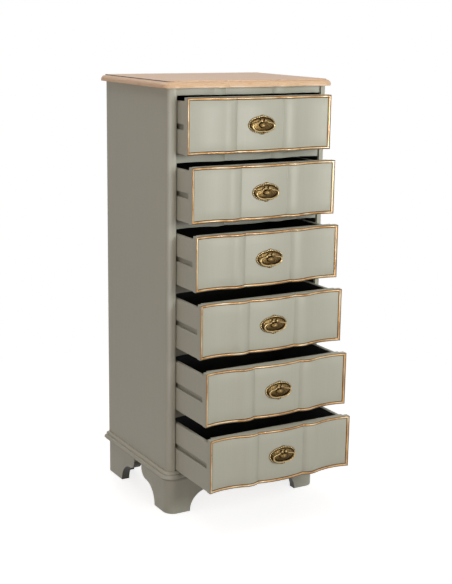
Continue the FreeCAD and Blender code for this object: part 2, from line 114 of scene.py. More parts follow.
def easedBoard(low, high, ease, finish=(0, 0, 0, 0)):
    # A board with eased edges: a rounded section in x and z, carried along y and drawn in at both
    # ends; finish numbers its lower, right, upper and left faces
    corner = ease + 1e-3  # a hair over the ease, so that the drawn-in ends keep a round
    turn = np.linspace(0, pi / 2, 4)
    angle = (np.array([pi, 1.5 * pi, 0, pi / 2])[:, None] + turn).ravel()
    left, right = low[0] + corner, high[0] - corner
    under, over = low[2] + corner, high[2] - corner
    x = np.repeat([left, right, right, left], len(turn))
    z = np.repeat([under, under, over, over], len(turn))
    y = np.array([low[1], low[1] + ease, high[1] - ease, high[1]])[:, None]
    bend = corner - np.array([ease, 0, 0, ease])[:, None]
    grid = np.stack(np.broadcast_arrays(x + bend * np.cos(angle), y, z + bend * np.sin(angle)), -1)
    marks = np.concatenate([np.repeat([0, face], [3, 1]) for face in finish])
    return sheetShell(grid, wrapColumns=True, capped=True, finish=np.tile(marks, 3))


def turnedShell(radius, height, count, patinaAndShade):
    # A profile of radius and height turned about Z, its first and last radius zero
    angle = np.linspace(0, 2 * pi, count, endpoint=False)
    radius, height, darkening = (np.asarray(row, float)[:, None] for row in (radius, height, patinaAndShade))
    x, y = radius * np.cos(angle), radius * np.sin(angle)
    return sheetShell(np.stack(np.broadcast_arrays(x, y, height), -1), wrapColumns=True, patinaAndShade=darkening)


def moved(shell, offset=(0, 0, 0), mirror=False):
    # The shell shifted, with x turned over first where it is mirrored
    flip = np.array([-1 if mirror else 1, 1, 1])
    return {**shell, "points": shell["points"] * flip + np.asarray(offset, float)}


def addPiece(name, body, shells, materials, replaced=()):
    # Joins the shells into one mesh, merges its seams and poles, turns its faces outwards, rides it
    points, marks, patinaAndShade = (
        np.concatenate([shell[key] for shell in shells]) for key in ("points", "marks", "patinaAndShade")
    )
    starts = np.cumsum([0] + [len(shell["points"]) for shell in shells])
    faces = []
    for shell, start in zip(shells, starts):
        faces += (shell["quads"] + start).tolist()
        faces += [(cap + start).tolist() for cap in shell["caps"]]
    mesh = bpy.data.meshes.new(name)
    mesh.from_pydata(points * mm, [], faces)
    mesh.polygons.foreach_set("material_index", marks.astype(np.int32))
    darkening = mesh.attributes.new("patinaAndShade", "FLOAT", "POINT")
    darkening.data.foreach_set("value", patinaAndShade.astype(np.float32))
    work = bmesh.new()
    work.from_mesh(mesh)
    bmesh.ops.remove_doubles(work, verts=work.verts, dist=meshing["merge"])
    bmesh.ops.dissolve_degenerate(work, edges=work.edges, dist=meshing["flat"])
    bmesh.ops.recalc_face_normals(work, faces=work.faces)
    work.to_mesh(mesh)
    work.free()
    for material in materials:
        mesh.materials.append(material)
    mesh.shade_smooth()
    mesh.set_sharp_from_angle(angle=math.radians(meshing["sharpAngle"]))
    piece = bpy.data.objects.new(name, mesh)
    bpy.context.scene.collection.objects.link(piece)
    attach(piece, body)
    if replaced:
        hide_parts(*replaced)


# Material helpers

def linear(hexColour):
    # sRGB hex to the linear colour that a shader takes
    c = np.array([int(hexColour[i:i + 2], 16) for i in (1, 3, 5)]) / 255
    return (*np.where(c <= 0.04045, c / 12.92, ((c + 0.055) / 1.055) ** 2.4).tolist(), 1.0)


def feed(tree, node, inputs):
    # Gives each input a value, or links another node's output to it
    for key, value in inputs.items():
        if isinstance(value, bpy.types.NodeSocket):
            tree.links.new(value, node.inputs[key])
        else:
            node.inputs[key].default_value = value


def addNode(tree, kind, inputs, out=0, stops=(), **settings):
    # One node with its settings, its inputs and, on a colour ramp, its stops; gives back one output
    made = tree.nodes.new("ShaderNode" + kind)
    for key, value in settings.items():
        setattr(made, key, value)
    feed(tree, made, inputs)
    if stops:
        band = made.color_ramp.elements
        band.remove(band[1])
        band[0].position, band[0].color = stops[0][0], linear(stops[0][1])
        for position, colour in stops[1:]:
            band.new(position).color = linear(colour)
    return made.outputs[out]


def newMaterial(name, patterns=()):
    # A material and its noise patterns, each given by the size of its blotches in millimetres along
    # x, y and z and by the noise's own inputs
    material = bpy.data.materials.new(name)
    material.use_nodes = True
    tree = material.node_tree
    place = addNode(tree, "TexCoord", {}, "Object")
    made = []
    for sizes, inputs in patterns:
        scale = tuple(1000 / size for size in sizes)
        stretched = addNode(tree, "Mapping", {"Vector": place, "Scale": scale})
        inputs = {"Vector": stretched, "Scale": 1.0, "Roughness": 0.55, **inputs}
        made.append(addNode(tree, "TexNoise", inputs, "Fac"))
    return material, tree, tree.nodes["Principled BSDF"], made


def dress(tree, shader, look, colour, roughBy, reliefBy):
    # Painted shade over the colour where the patina and shade attribute says so, and a roughness and a
    # relief (depth in millimetres, strength) that follow a pattern
    if "paintedShade" in look:
        darkening = addNode(tree, "Attribute", {}, "Fac", attribute_name="patinaAndShade")
        over = {0: darkening, 6: colour, 7: linear(look["paintedShade"])}
        colour = addNode(tree, "Mix", over, 2, data_type="RGBA")
    low, high = look["roughness"]
    rough = addNode(tree, "MapRange", {"Value": roughBy, "To Min": low, "To Max": high})
    feed(tree, shader, {"Base Color": colour, "Roughness": rough})
    if "relief" in look:
        depth, strength = look["relief"]
        relief = {"Height": reliefBy, "Distance": depth * mm, "Strength": strength}
        feed(tree, shader, {"Normal": addNode(tree, "Bump", relief)})


paintLook = {
    "cloud": ((70, 70, 110), {"Detail": 4}), "streak": ((5, 5, 160), {"Detail": 2}),
    "peel": ((2.2, 2.2, 3.5), {"Detail": 2}),
    "colours": ((0.3, "#b8b8a8"), (0.5, "#babaaa"), (0.7, "#bcbcac")), "paintedShade": "#37332a",
    "roughness": (0.46, 0.58), "relief": (0.03, 0.25),
}


def makePaint():
    # Satin paint sprayed on close-grained wood: even sage grey, faint clouding, a soft sheen, a trace
    # of upright streaks, and a thin dark painted shade in creases, quirks and grooves and under edges
    look = paintLook
    material, tree, shader, (cloud, streak, peel) = newMaterial(
        "sageSatinPaint", [look["cloud"], look["streak"], look["peel"]]
    )
    both = addNode(tree, "Math", {0: cloud, 1: streak}, operation="ADD")
    half = addNode(tree, "Math", {0: both, 1: 0.5}, operation="MULTIPLY")
    colour = addNode(tree, "ValToRGB", {"Fac": half}, stops=look["colours"])
    dress(tree, shader, look, colour, cloud, peel)
    return material


# Pale limed oak under wax: soft figure along the grain, short open pores drawn coarser than real ones
# so that they show, and painted shade in the quirk where it faces sideways
oakLook = {
    "figure": (420, 16, 16), "figureNoise": {"Detail": 5, "Roughness": 0.6, "Distortion": 0.6},
    "fine": (38, 1.9, 1.9), "fineNoise": {"Detail": 2}, "fineShare": 0.45,
    "colours": ((0.28, "#e2ba8f"), (0.47, "#e9c49d"), (0.62, "#edcca8"), (0.78, "#e5bf96")),
    "lines": ((0.34, "#e2c8b0"), (0.46, "#ffffff")), "paintedShade": "#4a3a30",
    "roughness": (0.36, 0.5), "roughBy": 0, "relief": (0.08, 0.5),
}

# Bare planed pine: warm yellow with soft upright grain
pineLook = {
    "figure": (22, 22, 520), "figureNoise": {"Detail": 5, "Distortion": 0.5},
    "fine": (2.4, 2.4, 120), "fineNoise": {"Detail": 2}, "fineShare": 0.5,
    "colours": ((0.3, "#a8814f"), (0.5, "#c9a26c"), (0.7, "#d6b582")),
    "lines": ((0.35, "#cdb08a"), (0.6, "#ffffff")),
    "roughness": (0.55, 0.72), "roughBy": 1, "relief": (0.1, 0.4),
}


def makeWood(name, look, axes=(0, 1, 2)):
    # A broad figure and fine lines, each with its own colours, multiplied; the axes turn the grain
    patterns = [
        ([look[key][axis] for axis in axes], look[key + "Noise"]) for key in ("figure", "fine")
    ]
    material, tree, shader, (figure, fine) = newMaterial(name, patterns)
    colour = addNode(tree, "ValToRGB", {"Fac": figure}, stops=look["colours"])
    lines = addNode(tree, "ValToRGB", {"Fac": fine}, stops=look["lines"])
    layers = {0: look["fineShare"], 6: colour, 7: lines}
    mixed = addNode(tree, "Mix", layers, 2, data_type="RGBA", blend_type="MULTIPLY")
    dress(tree, shader, look, mixed, (figure, fine)[look["roughBy"]], fine)
    return material


# Gold paint wiped along a wooden bead: warm, worn thin in places, brown painted shade on its flanks
giltLook = {
    "tone": ((60, 8, 60), {"Detail": 3}), "paintedShade": "#3a2c1a",
    "colours": ((0.34, "#c08b4c"), (0.5, "#e3b070"), (0.66, "#f6d8a8")), "roughness": (0.22, 0.34),
    "sheen": {"Metallic": 0.15, "Coat Weight": 0.25, "Coat Roughness": 0.15},
}

# Black, dry and matt, with the grain of the board just showing: a water stain inside the drawers,
# black on the case's inner faces, and painted shade on the feet's inner faces and in the fronts'
# quirks
blackStainAndShadeLook = {
    "tone": ((140, 140, 6), {"Detail": 4}), "roughness": (0.6, 0.8), "relief": (0.06, 0.4),
    "colours": ((0.3, "#0b0a09"), (0.6, "#14120f"), (0.8, "#1c1915")), "sheen": {},
}


def makeStain(name, look):
    # One pattern gives the tone, the roughness and, where there is one, the relief
    material, tree, shader, (tone,) = newMaterial(name, [look["tone"]])
    colour = addNode(tree, "ValToRGB", {"Fac": tone}, stops=look["colours"])
    dress(tree, shader, look, colour, tone, tone)
    feed(tree, shader, look["sheen"])
    return material


brassLook = {
    "tarnish": ((5, 5, 5), {"Detail": 4}), "spread": 0.16, "roughness": (0.22, 0.55),
    "colours": ((0.05, "#d2bd90"), (0.35, "#947b50"), (0.65, "#4f3d22"), (0.95, "#1d150b")),
    "relief": (0.06, 0.4),
}


def makeBrass():
    # Cast brass, darkened in its hollows and rubbed bright on its crests; its patina and shade
    # attribute also carries painted shade: darker towards the bottom of the plate, under the balls and
    # at the bail's hooks, and lighter on the dome's upper part
    look = brassLook
    material, tree, shader, (tarnish,) = newMaterial("antiqueCastBrass", [look["tarnish"]])
    darkening = addNode(tree, "Attribute", {}, "Fac", attribute_name="patinaAndShade")
    limits = {"Value": tarnish, "To Min": -look["spread"], "To Max": look["spread"]}
    uneven = addNode(tree, "MapRange", limits)
    depth = addNode(tree, "Math", {0: darkening, 1: uneven}, operation="ADD", use_clamp=True)
    colour = addNode(tree, "ValToRGB", {"Fac": depth}, stops=look["colours"])
    dress(tree, shader, look, colour, depth, tarnish)
    feed(tree, shader, {"Metallic": 1.0})
    return material


paint, brass = makePaint(), makeBrass()
gilt, blackStainAndShade = makeStain("wipedGiltPaint", giltLook), makeStain("blackStainAndPaintedShade", blackStainAndShadeLook)
softwood = makeWood("barePlanedPine", pineLook)
oak, oakEdge = makeWood("paleOakAcross", oakLook), makeWood("paleOakEdge", oakLook, (1, 0, 2))
print("materials made")


# The serpentine front: shares of half the width and of the depth for each point, and the rise of the
# arc that leaves it towards the middle. A rise below zero is a hollow.
serpentineLine = {
    "depth": 8,
    "shares": (
        (1.0, 0.0, -1.1), (0.5058, -0.1325, 0.5766), (0.3269, 0.4938, -0.0365),
        (0.3145, 0.5511, 1.0761),
    ),
    "steps": (24, 18, 6, 15),
}


def serpentine(x, half):
    # Depth behind the end plane at x, and its slope: four circular arcs on each side, chosen by |x|
    shares, depth = serpentineLine["shares"], serpentineLine["depth"]
    away = np.minimum(np.abs(x), half)
    y, slope, chosen = np.zeros_like(away), np.zeros_like(away), np.zeros(away.shape, bool)
    ends = shares[1:] + ((-shares[-1][0], shares[-1][1], 0),)
    for (x0, y0, rise), (x1, y1, _) in zip(shares, ends):
        start, end = np.array([x0 * half, y0 * depth]), np.array([x1 * half, y1 * depth])
        chord = start - end
        across = np.array([-chord[1], chord[0]]) / np.hypot(*chord)
        sag = rise * depth
        radius = chord @ chord / (8 * sag) + sag / 2
        centre = (start + end) / 2 + across * (radius - sag)
        root = np.sqrt(np.maximum(radius ** 2 - (away - centre[0]) ** 2, 1e-9))
        here = ~chosen & (away >= max(x1, 0) * half - 1e-9)
        y = np.where(here, centre[1] - np.sign(radius) * root, y)
        slope = np.where(here, np.sign(radius) * (away - centre[0]) / root, slope)
        chosen |= here
    return y, slope * np.sign(x)


def serpentineX(half):
    # Places along the front, closer where it bends more
    stops = [share[0] for share in serpentineLine["shares"]] + [0.0]
    right = np.concatenate([
        np.linspace(a, b, n, endpoint=False)
        for a, b, n in zip(stops, stops[1:], serpentineLine["steps"])
    ])
    return half * np.concatenate([-right, [0.0], right[::-1]])


caseSize = {
    "half": 248, "depth": 390, "openingHalf": 225, "setback": 7, "baseTop": 130, "caseTop": 1182,
    "postCorner": 20, "postDepth": 28, "postEase": 0.8, "postPaintedShade": 0.7, "paintedPast": 1.2,
    "sideThickness": 18, "backThickness": 6, "backRebate": 9, "vee": 0.6, "chamfer": 1.2,
}


def cornerArc(centre, radius, start, end, count):
    # Points of a circle in plan between two angles
    angle = np.linspace(start, end, count)
    return np.stack([centre[0] + radius * np.cos(angle), centre[1] + radius * np.sin(angle)], -1)


def edgeRun(overhang):
    # The line of a board that stands out from the case: left side, rounded corner, serpentine front,
    # and the same again on the right, with its outward normals
    half, corner = caseSize["half"] + overhang, caseSize["postCorner"] + overhang
    around = cornerArc((0, 0), 1, pi, 1.5 * pi, 14)
    leftCorner = np.array([corner - half, corner - overhang]) + corner * around
    x = serpentineX(caseSize["openingHalf"])[1:-1]
    y, slope = serpentine(x, caseSize["openingHalf"])
    front = np.stack([x, y - overhang], -1)
    frontNormal = np.stack([slope, -np.ones_like(slope)], -1) / np.hypot(slope, 1)[:, None]
    back, sideways = np.array([[-half, caseSize["depth"]]]), np.array([[-1.0, 0.0]])
    flip = np.array([-1, 1])
    points = np.concatenate([back, leftCorner, front, leftCorner[::-1] * flip, back * flip])
    normals = np.concatenate([sideways, around, frontNormal, around[::-1] * flip, -sideways])
    return points, normals


def edgeSweep(overhang, profile, level):
    # A profile of (inset from the edge, height) carried along that line
    points, normals = edgeRun(overhang)
    profile = np.asarray(profile, float)
    grid = np.empty((len(points), len(profile), 3))
    grid[..., :2] = points[:, None] - normals[:, None] * profile[None, :, :1]
    grid[..., 1] = np.minimum(grid[..., 1], caseSize["depth"]) + caseY
    grid[..., 2] = profile[None, :, 1] + level
    return grid


topSize = {
    "overhang": 16, "thickness": 18, "lowerFlat": 3.2, "round": 12.2, "step": 2.4, "ease": 0.5,
    "gap": 0.3, "quirkWidth": 0.5, "quirkDepth": 0.6, "lean": 0.2, "sideQuirkShade": 0.95,
}


def makeTop():
    # A short upright edge, a quarter round, a quirk, a small step, and the flat top; the back is cut
    # square, the side edges have their grain front to back, and the quirk and step carry painted shade
    # where they face sideways
    size = topSize
    ease, thick = size["ease"], size["thickness"]
    crest = thick - size["step"]
    quirk = crest - size["quirkDepth"]
    wall = size["round"] + size["gap"]
    step = wall + size["quirkWidth"]
    lip = step + size["lean"]
    turn = np.linspace(0, pi / 2, 9)
    inset = size["round"] * (1 - np.cos(turn))
    height = size["lowerFlat"] + (crest - size["lowerFlat"]) * np.sin(turn)
    profile = np.concatenate([
        [(ease, 0), (0, ease)], np.stack([inset, height], -1),
        [(wall, quirk), (step, quirk), (lip, thick - ease), (lip + ease, thick)],
    ])
    grid = edgeSweep(size["overhang"], profile, caseSize["caseTop"])
    rows, columns = grid.shape[:2]
    sideways = np.abs(edgeRun(size["overhang"])[1][:, 0])
    darkening = np.zeros((rows, columns))
    # Painted shade in the quirk and step, strongest where the edge faces sideways
    darkening[:, -4:-1] = size["sideQuirkShade"] * sideways[:, None] ** 2
    onSide = (sideways[1:] + sideways[:-1])[:, None] / 2 > 0.7
    marks = np.broadcast_to(onSide, (rows - 1, columns - 1)).astype(int)
    shell = sheetShell(grid, finish=marks, patinaAndShade=darkening)
    index = np.arange(rows * columns).reshape(rows, columns)
    shell["caps"] = [index[:, 0], index[:, -1], np.concatenate([index[0], index[-1, ::-1]])]
    shell["marks"] = np.append(shell["marks"], [0, 0, 1])
    addPiece("topBoard", "case", [shell], [oak, oakEdge], ["top_board"])


baseSize = {
    "overhang": 16, "level": 96, "height": 34, "under": 9.6, "underStart": 9.4, "recess": 28,
    "inner": 60, "wallLine": 0.4, "paintedShade": 0.35,
    # Each round: its start out from the case, its height, its run outwards, its drop, its painted
    # shade
    "rounds": ((1.2, 34, 7.8, 6.4, 0), (9.6, 25.6, 6.4, 8.6, 0), (14.6, 15.2, -4.6, 4.8, 1)),
    # Points of the quirks: out from the case, height, painted shade
    "upperQuirk": ((9.0, 26.6, 0), (8.3, 26.2, 1), (8.3, 25.7, 1)),
    "lowerQuirk": ((16.0, 16.4, 0), (14.9, 16.0, 1), (14.6, 15.7, 1)),
}


def makeBase():
    # From the top down: a quarter round, a quirk, a fuller quarter round, a quirk, a short hollow
    # under the nose, and an underside that runs in over the feet; painted shade lies in the quirks,
    # along the top against the side and in the hollow under the nose
    size = baseSize
    turn = np.linspace(0, pi / 2, 8)
    upper, nose, hollow = (
        np.stack([start + run * np.sin(turn), level - drop * (1 - np.cos(turn)), paintedShade * turn], -1)
        for start, level, run, drop, paintedShade in size["rounds"]
    )
    out, top, under, recess = size["overhang"], size["height"], size["under"], size["recess"]
    inner = out - size["inner"]
    profile = np.concatenate([
        [(inner, top, 0), (size["wallLine"], top, 1)], upper, size["upperQuirk"], nose,
        size["lowerQuirk"], hollow, [(size["underStart"], under, 1), (-recess, under, 0)],
        [(-recess, 0, 0), (inner, 0, 0)],
    ])
    grid = edgeSweep(out, np.stack([out - profile[:, 0], profile[:, 1]], -1), size["level"])
    marks = np.zeros(len(profile), int)
    marks[-4:] = 1  # bare wood underneath and inside
    shell = sheetShell(
        grid, wrapColumns=True, capped=True, finish=np.tile(marks, len(grid) - 1),
        patinaAndShade=size["paintedShade"] * profile[:, 2],
    )
    addPiece(
        "baseMoulding", "case", [shell], [paint, softwood],
        ["base_front", "base_left", "base_right"],
    )


def makeCase():
    size = caseSize
    half, opening, corner = size["half"], size["openingHalf"], size["postCorner"]
    levels = (size["baseTop"], size["caseTop"])
    ease, vee, chamfer = size["postEase"], size["vee"], size["chamfer"]
    front, rear = size["postDepth"], size["depth"]

    # Posts: a plank whose outer front corner is rounded, with painted shade on its inner front corner
    # and black where it faces the drawers
    outline = np.concatenate([
        cornerArc((corner - half, corner), corner, pi, 1.5 * pi, 16),
        cornerArc((-opening - ease, ease), ease, -pi / 2, 0, 4),
        [(-opening, 2 * ease), (-opening, size["setback"] + size["paintedPast"]), (-opening, front)],
        [(-half, front), (-half, front - vee)],
    ])
    post = moved(extruded(outline, levels, np.repeat([0, 1, 0], [21, 1, 3])), (0, caseY, 0))
    # Painted shade along the inner front corner
    arrisShade = np.repeat([0, size["postPaintedShade"], 0], [17, 3, 5])
    post["patinaAndShade"] = np.tile(arrisShade, len(levels))

    # Sides: a flat panel with a small vee against the post and a rebate for the back, black inside
    inside = size["sideThickness"] - half
    rebate, panel = inside - size["backRebate"], rear - size["backThickness"]
    outline = [
        (-half + vee, front), (inside, front), (inside, panel), (rebate, panel), (rebate, rear),
        (-half + chamfer, rear), (-half, rear - chamfer), (-half, front + vee),
    ]
    side = moved(extruded(outline, levels, [0, 1, 0, 0, 0, 0, 0, 0]), (0, caseY, 0))
    for name, mirror in (("left", False), ("right", True)):
        for title, shell, node in (("post", post, "front_post"), ("sidePanel", side, "side_panel")):
            addPiece(
                title + name.capitalize(), "case", [moved(shell, mirror=mirror)], [paint, blackStainAndShade],
                [f"{node}_{name}"],
            )


railSize = {
    "depth": 50, "ease": 0.8, "frieze": 20, "divider": 24, "pitch": 176, "paintedShade": 0.3,
    "paintedShadeWidth": 9,
}


def railShell(low, high, paintedShade):
    # The serpentine front set back from the posts, its two long edges eased, painted shadow along the
    # upper one, black behind
    half, ease = caseSize["openingHalf"], railSize["ease"]
    x = serpentineX(half)
    y, _ = serpentine(x, half)
    heights = np.array([low, low + ease, high - railSize["paintedShadeWidth"], high - ease, high])
    shift = np.array([ease, 0, 0, 0, ease])
    front = np.stack(np.broadcast_arrays(x, y + shift[:, None], heights[:, None]), -1)
    back = front.copy()
    back[..., 1] = railSize["depth"]
    shell = twoSheets(front, back, 0, 1)
    # Painted shadow of the drawer above on the upper rows
    shell["patinaAndShade"][3 * len(x):5 * len(x)] = paintedShade  # the two upper rows of the front
    return moved(shell, (0, caseY + caseSize["setback"], 0))


def makeRails():
    # One rail under the top, and one under each drawer but the lowest
    top, thick = caseSize["caseTop"], railSize["divider"]
    frieze = [railShell(top - railSize["frieze"], top, 0)]
    lows = [caseSize["baseTop"] - thick + k * railSize["pitch"] for k in range(1, drawerCount)]
    dividers = [railShell(low, low + thick, railSize["paintedShade"]) for low in lows]
    addPiece("friezeRail", "case", frieze, [paint, blackStainAndShade], ["frieze_rail"])
    addPiece("dividerRails", "case", dividers, [paint, blackStainAndShade], ["divider_rails"])


footSize = {
    "height": 105.6, "thickness": 25, "inset": 2, "corner": 30, "frontGap": 180, "sideLeg": 170,
    "hollow": 58, "swell": 28, "ease": 1.6, "paintedShade": 0.8, "cutEdgeShade": 0.2,
}


def footLeg(count=16):
    # The lower edge of a leg from its inner end: the swell from the base, then the hollow down to the
    # floor
    hollow, swell = footSize["hollow"], footSize["swell"]
    b = np.linspace(pi / 2, 0, count)
    a = np.linspace(pi / 2, 0, 2 * count)[1:]
    reach = hollow + swell
    along = np.concatenate([hollow + swell * np.sin(b), hollow * (1 - np.cos(a))])
    low = np.concatenate([reach - swell * np.cos(b), hollow * np.sin(a)])
    return reach - along, low


def footShell(rear):
    # A thick ribbon round the outside of the foot: side leg, corner, then front or rear leg; the rear
    # leg stops lower, under the plain rear rail; painted shade lies under the moulding and on the cut
    # edge, and the inner face takes the black material as painted shade
    size, level = footSize, baseSize["level"]
    half, corner, ease = caseSize["half"] - size["inset"], size["corner"], size["ease"]
    outerY = caseSize["depth"] if rear else size["inset"]
    inward = -1 if rear else 1
    along, low = footLeg()
    n = len(along)
    side = np.stack([np.full(n, -half), outerY + inward * (size["sideLeg"] - along)], -1)
    cross = np.stack([-size["frontGap"] / 2 - along, np.full(n, outerY)], -1)[::-1]
    if rear:
        bend = np.array([[-half, outerY]] + [[size["thickness"] - half, outerY]] * 2)
        bendNormal = np.array([[-1.0, 1.0], [0.0, 1.0], [0.0, 1.0]])
    else:
        bendNormal = cornerArc((0, 0), 1, pi, 1.5 * pi, 16)
        bend = np.array([corner - half, outerY + corner]) + corner * bendNormal
    sideNormal, crossNormal = (np.tile(way, (n, 1)) for way in ([-1.0, 0.0], [0.0, -1.0 * inward]))
    points = np.concatenate([side, bend, cross])
    normals = np.concatenate([sideNormal, bendNormal, crossNormal])
    floor = np.concatenate([low, np.zeros(len(bend)), low[::-1]])
    # Columns: outside from the top to the eased lower edge, then inside from the floor to the top
    inset = np.array([0, 0, 0, 0.3 * ease, ease] + [size["thickness"]] * 3)
    lift = np.array([0, 0, ease, 0.3 * ease, 0, 0, 0, 0])
    grid = np.empty((len(points), len(inset), 3))
    grid[..., :2] = points[:, None] - normals[:, None] * inset[None, :, None]
    grid[..., 1] += caseY
    grid[..., 2] = floor[:, None] + lift
    top = np.full(len(points), size["height"])
    if rear:
        top[n + 2:] = level
    grid[:, (0, -1), 2] = top[:, None]
    grid[:, (1, -2), 2] = level
    # The inner faces take the black material, and the cut edge and the top under the moulding take
    # painted shade
    marks = np.tile([0, 0, 0, 0, 0, 1, 1, 0], len(points) - 1)
    darkening = np.tile([size["paintedShade"], 0, 0, size["cutEdgeShade"], 1, 1, 1, 1], (len(points), 1))
    darkening[top <= level, 0] = 0
    return sheetShell(grid, wrapColumns=True, capped=True, finish=marks, patinaAndShade=darkening)


def makeFeet():
    # A front and a rear foot, each mirrored to the other side
    for row, rear in (("front", False), ("rear", True)):
        shell = footShell(rear)
        for name, mirror in (("left", False), ("right", True)):
            addPiece(
                f"foot{row.capitalize()}{name.capitalize()}", "case", [moved(shell, mirror=mirror)],
                [paint, blackStainAndShade], [f"foot_{row}_{name}"],
            )


makeTop()
makeBase()
makeCase()
makeRails()
makeFeet()
print("case, base and feet made")


frontSize = {
    "half": 223, "height": 148, "thickness": 18, "sink": 2.0,
    "lip": 0.8, "lipRound": 0.6, "lipDepth": 0.6, "lipLean": 0.1, "lipPaintedShade": 0.9,
    "beadInset": 1.5, "beadWidth": 5.0, "beadLap": (0.3, 0.2), "beadSeat": 0.05, "beadCrest": 0.1,
    "beadFullness": 0.7, "flank": 0.9, "flankFade": 1.6,
    "quirkWidth": 1.4, "quirkDepth": 1.0, "quirkLean": 0.15, "quirkEase": ((0.2, 0.25), (0.7, 0.0)),
    "creaseAt": 72, "creaseWidth": 1.6, "crease": 0.11, "shadeAt": 76.5, "shadeWidth": 4.5,
    "shade": 0.075,
    "innerHalf": 210.6, "innerLow": 13.6, "innerDepth": 8.5, "innerGap": 0.02, "innerEase": 0.5,
}


def frontBoard():
    # The serpentine sheet on a grid whose lines crowd along the border, where a rounded lip, a quirk,
    # the seat of the bead and a second quirk are set by the distance to the nearest edge; the lip
    # carries painted shade, the quirks take the black material as painted shade, and two soft lines of
    # painted shade on each side follow the crease beside the bowed middle
    size = frontSize
    half, tall, lip, ease = size["half"], size["height"], size["lip"], size["lipRound"]
    sink, face = size["sink"], size["lipDepth"]
    quirk = sink + size["quirkDepth"]
    outer, inner = size["beadInset"], size["beadInset"] + size["beadWidth"]
    far = inner + size["quirkWidth"]
    # Each row: distance in from the edge, depth behind the end line
    border = np.array([
        (0, ease + face), (0.3 * ease, 0.3 * ease + face), (ease, face),
        (lip, face + size["lipLean"]), (lip + size["quirkLean"], quirk),
        (outer + size["beadLap"][0], quirk), (inner - size["beadLap"][1], quirk), (far, quirk),
        *((far + run, sink + depth) for run, depth in size["quirkEase"]),
    ])
    distance, drop = border.T
    across = serpentineX(half)
    across = across[np.abs(across) < half - distance[-1] - 1]
    x = np.concatenate([distance - half, across, half - distance[::-1]])
    between = np.linspace(distance[-1], tall - distance[-1], 6)[1:-1]
    z = np.concatenate([distance, between, tall - distance[::-1]])
    y, _ = serpentine(x, half)

    def nearest(x, z):
        return np.minimum((half - np.abs(x))[None, :], np.minimum(z, tall - z)[:, None])

    edge = nearest(x, z)
    depth = y + np.interp(edge, distance, drop)
    front = np.stack(np.broadcast_arrays(x[None, :], depth, z[:, None]), -1)
    back = front.copy()
    back[..., 1] = size["thickness"]
    inset = nearest((x[1:] + x[:-1]) / 2, (z[1:] + z[:-1]) / 2).ravel()
    # Painted shade: the quirks and the bead's seat take the black material
    dark = (inset > lip + 0.1) & (inset < far)
    # Painted shade along the crease beside the bowed middle
    paintedShade = sum(
        size[key] * np.exp(-((np.abs(x) - size[key + "At"]) / size[key + "Width"]) ** 2)
        for key in ("crease", "shade")
    )
    onLip = (edge > 0.2 * ease) & (edge < lip + 0.1)
    shell = twoSheets(front, back, dark.astype(int), 1)
    # Painted shade on the lip
    shell["patinaAndShade"][:edge.size] = np.where(onLip, size["lipPaintedShade"], paintedShade).ravel()
    return shell


def frontInner():
    # A thinner board behind the front, between the drawer's sides, painted on its upper edge only
    size = frontSize
    start = size["thickness"] + size["innerGap"]
    low = (-size["innerHalf"], start, size["innerLow"])
    high = (size["innerHalf"], start + size["innerDepth"], size["height"])
    shell = easedBoard(low, high, size["innerEase"], (1, 1, 0, 1))
    shell["marks"][-1] = 1
    return shell


def frontBead():
    # A half round carried round the rectangle of the front, mitred at the corners; painted shade lies
    # on its flanks
    size = frontSize
    turn = np.linspace(0, pi, 9)
    radius = size["beadWidth"] / 2
    inset = size["beadInset"] + radius - radius * np.cos(turn)
    seat = size["sink"] + size["quirkDepth"] + size["beadSeat"]
    depth = seat - (seat - size["beadCrest"]) * np.sin(turn) ** size["beadFullness"]
    x = serpentineX(1.0)[None, :] * (size["half"] - inset[:, None])
    y = serpentine(x, size["half"])[0] + depth[:, None]
    low = np.stack(np.broadcast_arrays(x, y, inset[:, None]), -1)
    high = np.stack(np.broadcast_arrays(x, y, size["height"] - inset[:, None]), -1)[:, ::-1]
    # Painted shade on the bead's flanks, fading towards its crest
    darkening = np.clip(size["flank"] * (1 - size["flankFade"] * np.sin(turn)), 0, 1)[:, None]
    grid = np.concatenate([low, high], axis=1)
    return sheetShell(grid, wrapRows=True, wrapColumns=True, patinaAndShade=darkening)


boxSize = {
    "outer": 223, "thickness": 12, "lift": 1, "height": 137, "start": 18, "end": 360, "round": 2.6,
    "ease": 0.6, "endStrip": 0.8, "grooveLow": 64.5, "grooveHigh": 79.5, "grooveDepth": 7,
    "grooveFront": 22, "groovePaintedShade": 0.25, "backThickness": 12, "backLow": 13, "backHigh": 128,
    "backEase": 1.0,
}


